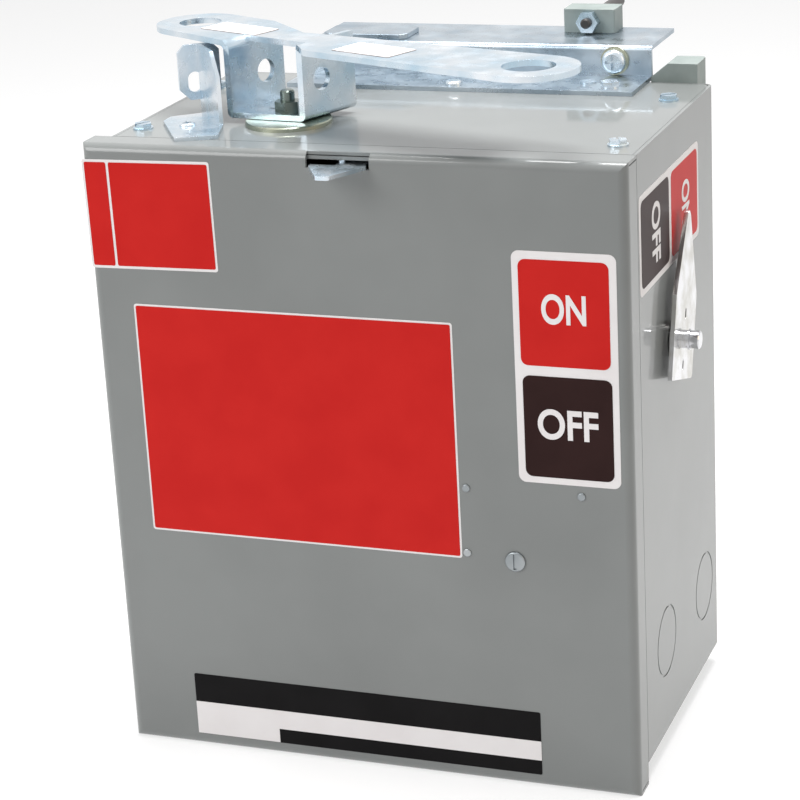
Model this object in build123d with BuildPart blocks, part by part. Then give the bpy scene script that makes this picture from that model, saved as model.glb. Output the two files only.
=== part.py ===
from build123d import *
import os
from math import cos, radians, sin

os.makedirs("parts", exist_ok=True)

# Enclosure: outside width, depth and height, and the steel sheet it is folded from
box_width = 305
box_depth = 185
box_height = 356
sheet = 1.9
body_inset_left = 10.3
body_bottom = 12.8
flange_width = 22
flange_front = 24
wall_gap = 0.2

# Front cover pan
cover_flange = 18.5
cover_bend = 5
cover_gap = 0.5
lip_front = 3.0
lip_clearance = 1.2

# Hinge along the left side
hinge_axis_left = 5.0
hinge_axis_front = 25.0
knuckle_radius = 3.0
hinge_pin_radius = 1.5
hinge_leaf = 1.4
knuckle_length = 20
hinge_gap = 0.3

# Pointer window in the cover's top edge
window_left = 131.3
window_right = 166.9
window_bottom = 347.5

# Quarter-turn latch and the rivets beside it
latch_left = box_width - 66.4
latch_height = 134.3
latch_shank_radius = 3.5
latch_head_radius = 5.75
tongue_length = 22
tongue_width = 8
tongue_thickness = 2.5
striker_depth = 12.0
striker_low = latch_height - 15.3
striker_high = latch_height + 14.7
striker_left = latch_left - 26.6
striker_step = latch_left + 23.4
striker_leg = 38
rivet_radius = 1.5
rivet_head_radius = 2.3
rivet_places = ((latch_left - 26.3, latch_height + 40.1), (latch_left - 27.1, latch_height + 2.6),
                (latch_left + 38, latch_height + 40.6))
backing_left = latch_left - 34.6
backing_right = latch_left + 46.4
backing_low = latch_height - 8.3
backing_high = latch_height + 48.7

# End plate screws: hex washer heads with a slot
screw_radius = 2.4
screw_washer_radius = 5.6
screw_flats = 8.8
screw_head_height = 3.4
screw_length = 9
screw_left = 20.5
screw_right = box_width - 14.5
screw_front = 37
screw_rear = box_depth - 43.5
fit = 0.05

# Plug assist lever on its pivot
pivot_left = 97
pivot_front = 62
lever_turn = 22
lever_sheet = 3.2
lever_top = 46
ear_inner_left = -27
ear_inner_right = 12.5
ear_front_left = -17
ear_front_right = -3
ear_rear_left = 25
ear_rear_right = 38
ear_bend = 2.3
ear_hole_radius = 6.5
ear_hole_v = 11.5
ear_hole_height = 24.3
left_eye_u = -80.5
left_eye_v = 14.5
left_eye_radius = 25
left_eye_hole = 12
right_eye_u = 162
right_eye_v = 12
right_eye_radius = 26.5
right_eye_hole = 14
pivot_radius = 4
pivot_nut_flats = 13
pivot_nut_height = 6.5
bearing_washer_radius = 24
bearing_washer_thickness = 2.5
running_gap = 0.3

# Pointer carried by the same pivot
pointer_thickness = 2.2
pointer_reach = 26
pointer_rivet_left = 149.6
pointer_rivet_front = 7

# Foot bracket beside the lever
bracket_sheet = 2.2
bracket_left = 54.0
bracket_front = 58.0
bracket_turn = 41
bracket_leg = 34
bracket_height = 41
bracket_screw_x = -18
bracket_screw_y = -8

# Hanger rail over the rear edge
rail_sheet = 2.5
rail_left = 60
rail_right = box_width - 37
rail_web = box_depth + 8
rail_foot = 45
rail_front = rail_web - rail_foot
rail_height = 19.5
rail_reach = 50
rail_rear = rail_web + rail_reach
rail_bend = 3
rail_screws_at = ((rail_left + 100.9, rail_front + 6.5), (rail_right - 31, rail_front + 19.4),
                  (rail_right - 16.1, rail_front + 12))
lower_rail_left = 26
lower_rail_right = box_width - 25
lower_rail_reach = 34
lower_screw_inset = 34
lower_screws_at = ((lower_rail_left + lower_screw_inset, rail_front + 18),
                   (lower_rail_right - lower_screw_inset - 6, rail_front + 18))

# Stop plate on the rail
stop_left = rail_left + 5
stop_length = 53
stop_width = 28
stop_thickness = 3
stop_corner = 4

# Clamp screw in the rail's web
clamp_left = rail_right - 21.3
clamp_height = 10.9
clamp_radius = 2.5
clamp_nut_flats = 8
clamp_washer_radius = 8.2
clamp_head_radius = 7

# Alignment pin and its block
pin_left = rail_right - 46
pin_height = 7
pin_radius = 3.75
pin_thread_radius = 3
pin_rear = box_depth + 105
align_block_width = 31
align_block_depth = 18
align_block_height = 14
align_block_front = rail_web + 31

# Interlock housing and hook on the back
housing_left = box_width - 36
housing_width = 27
housing_depth = 22
housing_top = box_height + 11
hook_left = housing_left + 9
hook_sheet = 4
hook_pin_radius = 3

# Front face of the switch base, and the fuses between their lugs and the shaft
base_front = box_depth - 55
fuse_front = base_front - 22
fuse_radius = 13.3
fuse_length = 92
ferrule = 16
clip_sheet = 1.5
lug_low = 78
lug_height = 20
lug_high = lug_low + lug_height
fuse_low = lug_high + 6
fuse_high = fuse_low + fuse_length

# Operating shaft, crossbar and handle
shaft_front = base_front - 44
shaft_height = fuse_high + 41
shaft_radius = 5
shaft_out = 15.5
crossbar_radius = 10
handle_lean = 16.5
handle_offset = 4.0
handle_sheet = 2.5
handle_half_width = 22.5
handle_below = 22
handle_above = 70
handle_hub_radius = 10

# Fused switch: three poles on a moulded base
pole_pitch = 48
pole_count = 3
pole_first = box_width / 2 + 5.5 - pole_pitch
pole_last = pole_first + pole_pitch * (pole_count - 1)
base_thickness = 12
base_left = pole_first - 26
base_right = pole_last + 26
base_low = lug_low - 16
crossbar_left = base_left + 3
crossbar_right = hook_left - 12
strap_width = 18
contact_sheet = 2.5
blade_thickness = 3.0
blade_tip = 64
blade_width = 16
blade_hub = 20
leg_radius = 6
line_bolt_height = shaft_height + blade_tip + 15
line_bolt_radius = 3
jaw_high = line_bolt_height - 10
jaw_height = 22
contact_gap = 0.3
base_high = line_bolt_height + 10

# Interlock hook, placed from the shaft that works it
hook_pivot_front = shaft_front + 74
hook_pivot_height = shaft_height + 63
housing_low = hook_pivot_height - 28

# Plug-in stabs at the back
stab_height = 205
stab_rear = box_depth + 41
stab_flange = 7
stab_slot = 14
stab_flange_half = 60
stab_boss_half = 40
stab_boss_side = 16
stab_slot_half = 32
stab_leaf_half = 27
stab_foot_half = 25
stab_foot_width = 20
stab_screw_half = 52
busbar_gap = 6.5
ground_left = pole_first - pole_pitch
stab_left = ground_left - 24
stab_right = pole_last + 36
strap_sheet = 3
strap_bend = line_bolt_height - 33
ground_bar_left = 30
ground_bar_length = 80
ground_bar_low = 40
ground_bar_height = 16
wall_screw_head = 5
wall_screw_reach = 14

top_inside = box_height - sheet
left_inside = body_inset_left + sheet
right_inside = box_width - sheet
back_inside = box_depth - sheet
poles = [pole_first + pole_pitch * i for i in range(pole_count)]
stabs = [ground_left] + poles


def from_left(distance):
    """X of a place measured from the box's left side; X is 0 halfway to the shaft's end."""
    return distance - (box_width + shaft_out) / 2


def from_front(distance):
    """Y of a place measured from the cover's front face; Y is 0 halfway from pointer to pin."""
    return distance - (pin_rear - pointer_reach) / 2


def block(left, right, front, rear, low, high, mode=Mode.ADD):
    """Box between two corners measured from the left side, the front and the floor."""
    with Locations((from_left((left + right) / 2), from_front((front + rear) / 2), (low + high) / 2)):
        Box(right - left, rear - front, high - low, mode=mode)


def rod(left, front, height, radius, length, axis, mode=Mode.ADD):
    """Cylinder that starts at a place and runs along an axis: x, y or z."""
    turn = {"x": (0, 90, 0), "y": (-90, 0, 0), "z": (0, 0, 0)}[axis]
    with Locations((from_left(left), from_front(front), height)):
        Cylinder(radius, length, rotation=turn, align=(Align.CENTER, Align.CENTER, Align.MIN), mode=mode)


bracket_at = Plane(origin=(from_left(bracket_left), from_front(bracket_front), box_height),
                   x_dir=(cos(radians(bracket_turn)), sin(radians(bracket_turn)), 0), z_dir=(0, 0, 1))
legs_at = [(left, height) for left in (base_left + 7, base_right - 7)
           for height in (base_low + 8, base_high - 8)]
stab_screws_at = [(left, height) for left in (stab_left + 8, stab_right - 8)
                  for height in (stab_height - stab_screw_half, stab_height + stab_screw_half)]
ground_screws_at = [(left, ground_bar_low + ground_bar_height / 2)
                    for left in (ground_bar_left + 8, ground_bar_left + ground_bar_length - 8)]
housing_screws_at = [(housing_left + 20, housing_top - 22), (housing_left + 20, housing_low + 5)]

knockout_ring = Cylinder(20.5, 1.0) - Cylinder(19.3, 1.2)

# Body wrap: left side, back and right side folded from one sheet, with inward flanges
with BuildPart() as body_wrap:
    with BuildSketch(Plane.XY.offset(body_bottom)):
        with Locations((from_left((body_inset_left + box_width) / 2), from_front((cover_flange + cover_gap
                                                                                + box_depth) / 2))):
            outer = Rectangle(box_width - body_inset_left, box_depth - cover_flange - cover_gap)
        fillet(outer.vertices().group_by(Axis.Y)[-1], cover_bend)
        with Locations((from_left((left_inside + right_inside) / 2), from_front(back_inside / 2))):
            Rectangle(right_inside - left_inside, back_inside, mode=Mode.SUBTRACT)
    extrude(amount=box_height - body_bottom)
    block(left_inside, left_inside + flange_width, flange_front, back_inside, top_inside - sheet,
          top_inside)
    block(right_inside - flange_width, right_inside, flange_front, back_inside, top_inside - sheet,
          top_inside)
    block(left_inside, right_inside, back_inside - flange_width, back_inside, top_inside - sheet, top_inside)
    floor_top = body_bottom + 2 * sheet
    block(left_inside, left_inside + flange_width, flange_front, back_inside, floor_top - sheet, floor_top)
    block(right_inside - flange_width, right_inside, flange_front, back_inside, floor_top - sheet,
          floor_top)
    block(left_inside, right_inside, back_inside - flange_width, back_inside, floor_top - sheet, floor_top)
    joggle = cover_flange + cover_gap
    lip_high = top_inside - 3
    lip_low = body_bottom + sheet + wall_gap
    lip_outer = right_inside - lip_clearance
    block(body_inset_left, left_inside, lip_front, joggle, lip_low, lip_high)
    block(lip_outer - sheet, box_width, joggle, joggle + sheet, lip_low, lip_high)
    block(lip_outer - sheet, lip_outer, lip_front, joggle, lip_low, lip_high)
    for left in (screw_left, screw_right):
        for front in (screw_front, screw_rear):
            rod(left, front, 0, screw_radius + fit, box_height, "z", Mode.SUBTRACT)
    for left, front in rail_screws_at:
        rod(left, front, top_inside - 5, screw_radius + fit, 9, "z", Mode.SUBTRACT)
    for left, front in lower_screws_at:
        rod(left, front, 0, screw_radius + fit, 20, "z", Mode.SUBTRACT)
    for left, height in legs_at + stab_screws_at + ground_screws_at + housing_screws_at:
        rod(left, back_inside - 1, height, screw_radius + fit, 4, "y", Mode.SUBTRACT)
    rod(right_inside - 5, shaft_front, shaft_height, 7 + fit, 20, "x", Mode.SUBTRACT)
    block(ground_left - 12, pole_last + 12, back_inside - 1, box_depth + 1, stab_height - 34,
          stab_height + 34, Mode.SUBTRACT)
    block(hook_left - 5, hook_left + 5, back_inside - 1, box_depth + 1, hook_pivot_height - 20,
          hook_pivot_height + 18, Mode.SUBTRACT)
    for front, height in ((box_depth - 122.5, 67), (box_depth - 35, 63)):
        with Locations(Location((from_left(box_width), from_front(front), height), (0, 90, 0))):
            add(knockout_ring, mode=Mode.SUBTRACT)
body_wrap.part.label = "body_wrap"
export_step(body_wrap.part, "parts/body_wrap.step")

# Top plate, set between the sides on their flanges, with a lip under the cover
with BuildPart() as top_plate:
    block(left_inside + wall_gap, right_inside - wall_gap, joggle, back_inside - wall_gap,
          top_inside, box_height)
    fillet(top_plate.edges().filter_by(Axis.Z).group_by(Axis.Y)[-1], cover_bend - sheet + 1)
    lip_right = lip_outer - sheet - wall_gap
    block(left_inside + wall_gap, lip_right, joggle, joggle + sheet, top_inside - 2.4, top_inside)
    block(left_inside + wall_gap, lip_right, lip_front, joggle + sheet, top_inside - 2.4,
          top_inside - 0.5)
    for left in (screw_left, screw_right):
        for front in (screw_front, screw_rear):
            rod(left, front, top_inside - 1, screw_radius + fit, 5, "z", Mode.SUBTRACT)
    for left, front in rail_screws_at:
        rod(left, front, top_inside - 1, screw_radius + fit, 5, "z", Mode.SUBTRACT)
    rod(pivot_left, pivot_front, top_inside - 4, pivot_radius + fit, 9, "z", Mode.SUBTRACT)
    with BuildSketch(bracket_at):
        with Locations((bracket_screw_x, bracket_screw_y)):
            Circle(screw_radius + fit)
    extrude(amount=-5, mode=Mode.SUBTRACT)
top_plate.part.label = "top_plate"
export_step(top_plate.part, "parts/top_plate.step")

# Bottom plate, with two conduit knockouts pressed in its underside
with BuildPart() as bottom_plate:
    block(left_inside + wall_gap, right_inside - wall_gap, joggle, back_inside - wall_gap,
          body_bottom, body_bottom + sheet)
    fillet(bottom_plate.edges().filter_by(Axis.Z).group_by(Axis.Y)[-1], cover_bend - sheet + 1)
    block(left_inside + wall_gap, lip_right, lip_front, joggle + sheet, body_bottom, body_bottom + sheet)
    for left in (screw_left, screw_right):
        for front in (screw_front, screw_rear):
            rod(left, front, body_bottom - 1, screw_radius + fit, 5, "z", Mode.SUBTRACT)
    for left, front in lower_screws_at:
        rod(left, front, body_bottom - 1, screw_radius + fit, 5, "z", Mode.SUBTRACT)
    for left in (box_width / 2 - 57.5, box_width / 2 + 57.5):
        with Locations((from_left(left), from_front(88), body_bottom)):
            add(knockout_ring, mode=Mode.SUBTRACT)
bottom_plate.part.label = "bottom_plate"
export_step(bottom_plate.part, "parts/bottom_plate.step")

# One hex washer head screw with a slot, its seat at the origin and its shank below
with BuildPart() as plate_screw:
    Cylinder(screw_washer_radius, 1, align=(Align.CENTER, Align.CENTER, Align.MIN))
    with BuildSketch(Plane.XY.offset(1)):
        RegularPolygon(screw_flats / 2, 6, major_radius=False)
    extrude(amount=screw_head_height - 1)
    with BuildSketch(Plane.XY.offset(screw_head_height)):
        Rectangle(2 * screw_flats, 1.2)
    extrude(amount=-1.1, mode=Mode.SUBTRACT)
    with BuildSketch(Plane.XY):
        Circle(screw_radius)
    extrude(amount=-screw_length)

with BuildPart() as plate_screws:
    for left, turn in ((screw_left, 20), (screw_right, 75)):
        for front in (screw_front, screw_rear):
            with Locations(Location((from_left(left), from_front(front), box_height), (0, 0, turn + front))):
                add(plate_screw.part)
            with Locations(Location((from_left(left), from_front(front), body_bottom),
                                    (180, 0, turn + front))):
                add(plate_screw.part)
plate_screws.part.label = "plate_screws"
export_step(plate_screws.part, "parts/plate_screws.step")

# Front cover: a pan bent from one sheet, with the pointer window and the latch hole
with BuildPart() as front_cover:
    block(0, box_width, 0, cover_flange, 0, box_height)
    fillet(front_cover.faces().sort_by(Axis.Y)[0].edges(), cover_bend)
    with BuildSketch(Plane.XZ.offset(-from_front(sheet))):
        with Locations((from_left(box_width / 2), box_height / 2)):
            Rectangle(box_width - 2 * sheet, box_height - 2 * sheet)
    extrude(amount=-cover_flange, mode=Mode.SUBTRACT)
    block(window_left, window_right, -1, cover_bend - 1.5, window_bottom, box_height + 1, Mode.SUBTRACT)
    for left in (0, box_width):
        for low in (sheet, top_inside - 0.6):
            block(left - sheet, left + sheet, cover_bend, cover_flange + 1, low, low + 0.6, Mode.SUBTRACT)
    rod(latch_left, -1, latch_height, latch_shank_radius + fit, 5, "y", Mode.SUBTRACT)
    for left, height in rivet_places:
        rod(left, -1, height, rivet_radius + fit, 5, "y", Mode.SUBTRACT)
front_cover.part.label = "front_cover"
export_step(front_cover.part, "parts/front_cover.step")

# Backing plate that stiffens the cover round the latch
with BuildPart() as latch_backing_plate:
    block(backing_left, backing_right, sheet, 2 * sheet, backing_low, backing_high)
    fillet(latch_backing_plate.edges().filter_by(Axis.Y), 5)
    rod(latch_left, 0, latch_height, latch_shank_radius + fit, 5, "y", Mode.SUBTRACT)
    for left, height in rivet_places:
        rod(left, 0, height, rivet_radius + fit, 5, "y", Mode.SUBTRACT)
latch_backing_plate.part.label = "latch_backing_plate"
export_step(latch_backing_plate.part, "parts/latch_backing_plate.step")

with BuildPart() as cover_rivets:
    for left, height in rivet_places:
        rod(left, -0.9, height, rivet_head_radius, 0.9, "y")
        rod(left, 0, height, rivet_radius, 2 * sheet, "y")
        rod(left, 2 * sheet, height, rivet_head_radius, 1.2, "y")
    fillet(cover_rivets.faces().filter_by(Axis.Y).group_by(Axis.Y)[0].edges(), 0.7)
cover_rivets.part.label = "cover_rivets"
export_step(cover_rivets.part, "parts/cover_rivets.step")

# Quarter-turn latch stud: slotted head outside, tongue behind the striker
tongue_front = striker_depth + sheet + 1.2
with BuildPart() as latch_stud:
    rod(latch_left, -1.4, latch_height, latch_head_radius, 1.4, "y")
    fillet(latch_stud.faces().sort_by(Axis.Y)[0].edges(), 1.0)
    block(latch_left - 0.9, latch_left + 0.9, -2, -0.4, latch_height - 4.4, latch_height + 4.4,
          Mode.SUBTRACT)
    rod(latch_left, 0, latch_height, latch_shank_radius, tongue_front + tongue_thickness + 1, "y")
    block(latch_left - tongue_length / 2, latch_left + tongue_length / 2, tongue_front,
          tongue_front + tongue_thickness, latch_height - tongue_width / 2, latch_height + tongue_width / 2)
latch_stud.part.label = "latch_stud"
export_step(latch_stud.part, "parts/latch_stud.step")

with BuildPart() as latch_retainer:
    rod(latch_left, 2 * sheet + 0.2, latch_height, 7, 1.2, "y")
    rod(latch_left, 2 * sheet - 1, latch_height, latch_shank_radius + 0.02, 4, "y", Mode.SUBTRACT)
latch_retainer.part.label = "latch_retainer"
export_step(latch_retainer.part, "parts/latch_retainer.step")

# Striker: stepped bracket from the right side to behind the latch
with BuildPart() as latch_striker:
    block(right_inside - sheet, right_inside, flange_front, flange_front + striker_leg, striker_low,
          striker_high)
    block(striker_step, right_inside, flange_front, flange_front + sheet, striker_low, striker_high)
    block(striker_step, striker_step + sheet, striker_depth, flange_front + sheet, striker_low, striker_high)
    block(striker_left, striker_step + sheet, striker_depth, striker_depth + sheet, striker_low,
          striker_high)
    block(latch_left - 15, latch_left + 15, striker_depth - 1, striker_depth + sheet + 1,
          latch_height - 5.8, latch_height + 5.8, Mode.SUBTRACT)
latch_striker.part.label = "latch_striker"
export_step(latch_striker.part, "parts/latch_striker.step")

# Concealed hinge in the gap left of the body: two leaves and a pin at each height
hinge_lows = (40, 245)
knuckles = 3
with BuildPart() as hinge_body_leaf:
    for low in hinge_lows:
        for k in (0, 2):
            z = low + k * (knuckle_length + hinge_gap)
            rod(hinge_axis_left, hinge_axis_front, z, knuckle_radius, knuckle_length, "z")
            block(hinge_axis_left + 1, body_inset_left, hinge_axis_front + 1.2,
                  hinge_axis_front + 1.2 + hinge_leaf, z, z + knuckle_length)
        block(body_inset_left - hinge_leaf, body_inset_left, hinge_axis_front + 1.2, 50, low,
              low + knuckles * (knuckle_length + hinge_gap) - hinge_gap)
        for k in range(knuckles):
            z = low + k * (knuckle_length + hinge_gap)
            rod(hinge_axis_left, hinge_axis_front, z - hinge_gap, hinge_pin_radius + fit,
                knuckle_length + 2 * hinge_gap, "z", Mode.SUBTRACT)
hinge_body_leaf.part.label = "hinge_body_leaf"
export_step(hinge_body_leaf.part, "parts/hinge_body_leaf.step")

with BuildPart() as hinge_cover_leaf:
    for low in hinge_lows:
        z = low + knuckle_length + hinge_gap
        rod(hinge_axis_left, hinge_axis_front, z, knuckle_radius, knuckle_length, "z")
        block(sheet, sheet + hinge_leaf, sheet + 2, hinge_axis_front, z, z + knuckle_length)
        rod(hinge_axis_left, hinge_axis_front, z - 1, hinge_pin_radius + fit, knuckle_length + 2, "z",
            Mode.SUBTRACT)
hinge_cover_leaf.part.label = "hinge_cover_leaf"
export_step(hinge_cover_leaf.part, "parts/hinge_cover_leaf.step")

with BuildPart() as hinge_pins:
    for low in hinge_lows:
        rod(hinge_axis_left, hinge_axis_front, low - 1, hinge_pin_radius,
            knuckles * (knuckle_length + hinge_gap) + 2, "z")
hinge_pins.part.label = "hinge_pins"
export_step(hinge_pins.part, "parts/hinge_pins.step")

# Plug assist lever: folded bracket with two ears under a long plate with an eye at each end
lever_low = box_height + bearing_washer_thickness + running_gap
lever_high = box_height + lever_top
lever_at = Plane(origin=(from_left(pivot_left), from_front(pivot_front), 0),
                 x_dir=(cos(radians(lever_turn)), -sin(radians(lever_turn)), 0), z_dir=(0, 0, 1))
ear_outer_left = ear_inner_left - lever_sheet
ear_outer_right = ear_inner_right + lever_sheet
arm_low = lever_high - lever_sheet
arm_u = -4.5
arm_front = -16
arm_rear = 20.2


def bend_corner(u, height, way, radius, v_from, v_to, mode):
    """Material between a square and a round corner of the folded sheet, over part of the lever's depth."""
    across = Plane(origin=lever_at.origin + lever_at.y_dir * v_to, x_dir=lever_at.x_dir,
                   z_dir=-lever_at.y_dir)
    with BuildSketch(across) as corner:
        with Locations((u + way * radius / 2, height - radius / 2)):
            Rectangle(radius, radius)
        with Locations((u + way * radius, height - radius)):
            Circle(radius, mode=Mode.SUBTRACT)
    extrude(corner.sketch, amount=v_to - v_from, mode=mode)


with BuildPart() as assist_lever:
    with BuildSketch(lever_at.offset(lever_low)):
        with BuildLine():
            Polyline((ear_outer_left, ear_front_left), (ear_outer_right, ear_front_right),
                     (ear_outer_right, ear_rear_right), (ear_outer_left, ear_rear_left), close=True)
        make_face()
    extrude(amount=lever_high - lever_low)
    with BuildSketch(lever_at.offset(lever_low + lever_sheet)):
        with Locations(((ear_inner_left + ear_inner_right) / 2, 0)):
            Rectangle(ear_inner_right - ear_inner_left, 4 * ear_rear_right)
    extrude(amount=lever_high, mode=Mode.SUBTRACT)
    lower_bends = assist_lever.edges().filter_by(GeomType.LINE).group_by(Axis.Z)[0]
    long_way = Vector(sin(radians(lever_turn)), cos(radians(lever_turn)), 0)
    fillet([e for e in lower_bends if abs(e.tangent_at(0).dot(long_way)) > 0.99], lever_sheet)
    with BuildSketch(lever_at.offset(arm_low)):
        with BuildLine():
            Polyline((ear_outer_left, ear_front_left), (arm_u, arm_front), (arm_u, arm_rear),
                     (arm_u - 39, arm_rear + 16.7), close=True)
        make_face()
        with Locations((left_eye_u, left_eye_v)):
            Circle(left_eye_radius)
        make_hull()
    extrude(amount=lever_sheet)
    with BuildSketch(lever_at.offset(arm_low)):
        with BuildLine():
            Polyline((arm_u, arm_front), (arm_u + 20, 0), (arm_u, arm_rear), close=True)
        make_face()
        with Locations((right_eye_u, right_eye_v)):
            Circle(right_eye_radius)
        make_hull()
    extrude(amount=lever_sheet)
    with BuildSketch(lever_at.offset(arm_low - 1)):
        with Locations((left_eye_u, left_eye_v)):
            Circle(left_eye_hole)
        with Locations((right_eye_u, right_eye_v)):
            Circle(right_eye_hole)
        with BuildLine():
            Polyline((ear_inner_left, arm_front - 9), (ear_inner_left, 0), (ear_inner_right, 0),
                     (ear_inner_right, ear_front_right - 1), (ear_inner_right + 17.5, arm_front),
                     (ear_inner_right + 17.5, arm_front - 9), close=True)
        make_face()
    extrude(amount=lever_sheet + 2, mode=Mode.SUBTRACT)
    outer_bend = lever_sheet + ear_bend
    bend_corner(ear_outer_left, arm_low, -1, ear_bend, ear_front_left, ear_rear_left, Mode.ADD)
    bend_corner(ear_outer_right, arm_low, 1, ear_bend, ear_front_right, arm_rear, Mode.ADD)
    bend_corner(ear_inner_left, lever_high, -1, outer_bend, arm_front - 9, 0, Mode.SUBTRACT)
    bend_corner(ear_inner_right, lever_high, 1, outer_bend, arm_front - 9, 0, Mode.SUBTRACT)
    with Locations(lever_at.location * Location((ear_outer_left - 5, ear_hole_v,
                                                 box_height + ear_hole_height), (0, 90, 0))):
        Cylinder(ear_hole_radius, ear_outer_right - ear_outer_left + 10,
                 align=(Align.CENTER, Align.CENTER, Align.MIN), mode=Mode.SUBTRACT)
    with Locations(lever_at.location * Location((0, 0, lever_low - 1))):
        Cylinder(pivot_radius + fit, lever_sheet + 2, align=(Align.CENTER, Align.CENTER, Align.MIN),
                 mode=Mode.SUBTRACT)
    for u, v in ((-13, 2), (-19, 14)):
        with Locations(lever_at.location * Location((u, v, lever_low + lever_sheet))):
            Box(7, 1.6, 2, mode=Mode.SUBTRACT)
assist_lever.part.label = "assist_lever"
export_step(assist_lever.part, "parts/assist_lever.step")

# Pivot of the lever: bolt from inside, bearing washer, hex nut
pivot_head_top = window_bottom + 0.5
with BuildPart() as pivot_bolt:
    with BuildSketch(lever_at.offset(pivot_head_top - 6)):
        RegularPolygon(pivot_nut_flats / 2, 6, major_radius=False)
    extrude(amount=6)
    with BuildSketch(lever_at.offset(pivot_head_top)):
        Circle(pivot_radius)
    extrude(amount=lever_low + lever_sheet + pivot_nut_height + 6 - pivot_head_top)
    chamfer(pivot_bolt.faces().sort_by(Axis.Z)[-1].edges(), 0.8)
pivot_bolt.part.label = "pivot_bolt"
export_step(pivot_bolt.part, "parts/pivot_bolt.step")

with BuildPart() as pivot_nut:
    with BuildSketch(lever_at.offset(lever_low + lever_sheet)):
        RegularPolygon(pivot_nut_flats / 2, 6, major_radius=False)
        Circle(pivot_radius + 0.02, mode=Mode.SUBTRACT)
    extrude(amount=pivot_nut_height)
pivot_nut.part.label = "pivot_nut"
export_step(pivot_nut.part, "parts/pivot_nut.step")

with BuildPart() as bearing_washer:
    with BuildSketch(lever_at.offset(box_height)):
        Circle(bearing_washer_radius)
        Circle(pivot_radius + fit, mode=Mode.SUBTRACT)
    extrude(amount=bearing_washer_thickness)
    chamfer(bearing_washer.faces().sort_by(Axis.Z)[-1].edges().sort_by(Edge.length)[-1:], 0.6)
bearing_washer.part.label = "bearing_washer"
export_step(bearing_washer.part, "parts/bearing_washer.step")

# Pointer: arm on the pivot inside, with a broad tip through the cover's window
pointer_low = pivot_head_top
with BuildPart() as pointer:
    with BuildSketch(Plane.XY.offset(pointer_low)):
        with BuildLine():
            Polyline((from_left(pivot_left - 9), from_front(pivot_front + 6)),
                     (from_left(pivot_left + 9), from_front(pivot_front + 6)),
                     (from_left(window_right - 3), from_front(8)),
                     (from_left(window_right - 1.2), from_front(-2)),
                     (from_left(window_right - 11), from_front(-pointer_reach + 4)),
                     (from_left(window_right - 13), from_front(-pointer_reach)),
                     (from_left(window_right - 20), from_front(-pointer_reach)),
                     (from_left(window_right - 32), from_front(-5)),
                     (from_left(window_right - 32), from_front(-2)),
                     (from_left(window_right - 18), from_front(-2)),
                     (from_left(window_right - 18), from_front(6)),
                     (from_left(pivot_left - 9), from_front(pivot_front - 8)), close=True)
        make_face()
    extrude(amount=pointer_thickness)
    fillet(pointer.edges().filter_by(Axis.Z).group_by(Axis.Y)[0], 2)
    rod(pivot_left, pivot_front, pointer_low - 1, pivot_radius + fit, 5, "z", Mode.SUBTRACT)
    rod(pointer_rivet_left, pointer_rivet_front, pointer_low - 1, rivet_radius + fit, 5, "z",
        Mode.SUBTRACT)
pointer.part.label = "pointer"
export_step(pointer.part, "parts/pointer.step")

with BuildPart() as pointer_rivet:
    rod(pointer_rivet_left, pointer_rivet_front, pointer_low, rivet_radius, pointer_thickness, "z")
    rod(pointer_rivet_left, pointer_rivet_front, pointer_low + pointer_thickness, rivet_head_radius,
        0.9, "z")
pointer_rivet.part.label = "pointer_rivet"
export_step(pointer_rivet.part, "parts/pointer_rivet.step")

# Foot bracket: chamfered foot, upright leg and a tab across the leg's rear edge
leg_at = Plane(origin=bracket_at.origin, x_dir=bracket_at.y_dir, z_dir=bracket_at.x_dir)
half_leg = bracket_leg / 2
tab_at = Plane(origin=bracket_at.origin + bracket_at.y_dir * (half_leg + bracket_sheet),
               x_dir=bracket_at.x_dir, z_dir=-bracket_at.y_dir)
tab_left = -13.5
tab_right = 10.5
tab_low = 10
tab_slot_x = -4.5
tab_slot_z = 20
with BuildPart() as foot_bracket:
    with BuildSketch(bracket_at):
        with BuildLine():
            Polyline((0, half_leg), (-20, half_leg + 0.7), (-26.5, half_leg - 7.5), (-33, -half_leg - 17),
                     (-10.5, -half_leg - 23.5), (0, -half_leg), close=True)
        make_face()
        with Locations((bracket_screw_x, bracket_screw_y)):
            Circle(screw_radius + fit, mode=Mode.SUBTRACT)
    extrude(amount=bracket_sheet)
    with BuildSketch(leg_at):
        with BuildLine():
            Polyline((-half_leg, 0), (half_leg, 0), (half_leg, bracket_height),
                     (-half_leg + 10, bracket_height), (-half_leg, bracket_height - 13), close=True)
        make_face()
    extrude(amount=-bracket_sheet)
    bend = foot_bracket.edges().filter_by(lambda e: abs(e.length - bracket_leg) < 0.01
                                          and abs(e.center().Z - box_height) < 0.01)
    fillet(bend, bracket_sheet * 0.9)
    with BuildSketch(tab_at):
        with BuildLine():
            Polyline((tab_left + 6, tab_low), (tab_right - 4, tab_low), (tab_right, tab_low + 4),
                     (tab_right, bracket_height - 4), (tab_right - 4, bracket_height),
                     (tab_left + 4, bracket_height), (tab_left, bracket_height - 4),
                     (tab_left, tab_low + 6), close=True)
        make_face()
        with Locations((tab_slot_x, tab_slot_z)):
            SlotCenterToCenter(3.5, 8, rotation=90, mode=Mode.SUBTRACT)
    extrude(amount=bracket_sheet)
foot_bracket.part.label = "foot_bracket"
export_step(foot_bracket.part, "parts/foot_bracket.step")

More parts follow.
